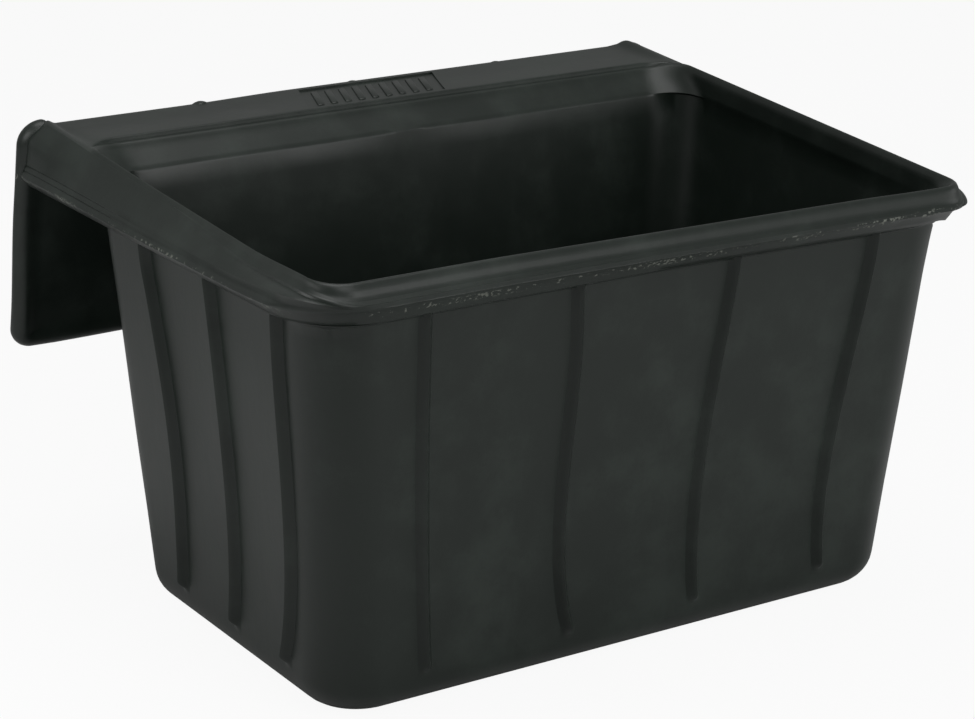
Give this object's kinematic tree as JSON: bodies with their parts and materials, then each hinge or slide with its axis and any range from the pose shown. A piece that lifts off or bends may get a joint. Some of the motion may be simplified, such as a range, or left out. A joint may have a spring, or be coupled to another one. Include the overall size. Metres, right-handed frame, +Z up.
{
  "type": "fence feeder",
  "caption": "Open rectangular feed tub in moulded rubber, with ribbed walls, a beaded rim and a full-width hook at the back that drops over a fence rail.",
  "frame": {"origin": "middle of the flat underside of the tub", "axes": "+X to the right across the feeder seen from the front, +Y from the front wall back to the hook, +Z up"},
  "size_m": [0.41, 0.3492, 0.2532],
  "materials": {
    "moulded_rubber": "satin moulded rubber, very dark green-black",
    "reinforcing_steel": "plain mild steel, sealed inside the rubber"
  },
  "bodies": {
    "root": {"feeder_moulding": "moulded_rubber", "rim_rod": "reinforcing_steel", "hook_strap_left": "reinforcing_steel", "hook_strap_middle": "reinforcing_steel", "hook_strap_right": "reinforcing_steel"}
  },
  "joints": []
}
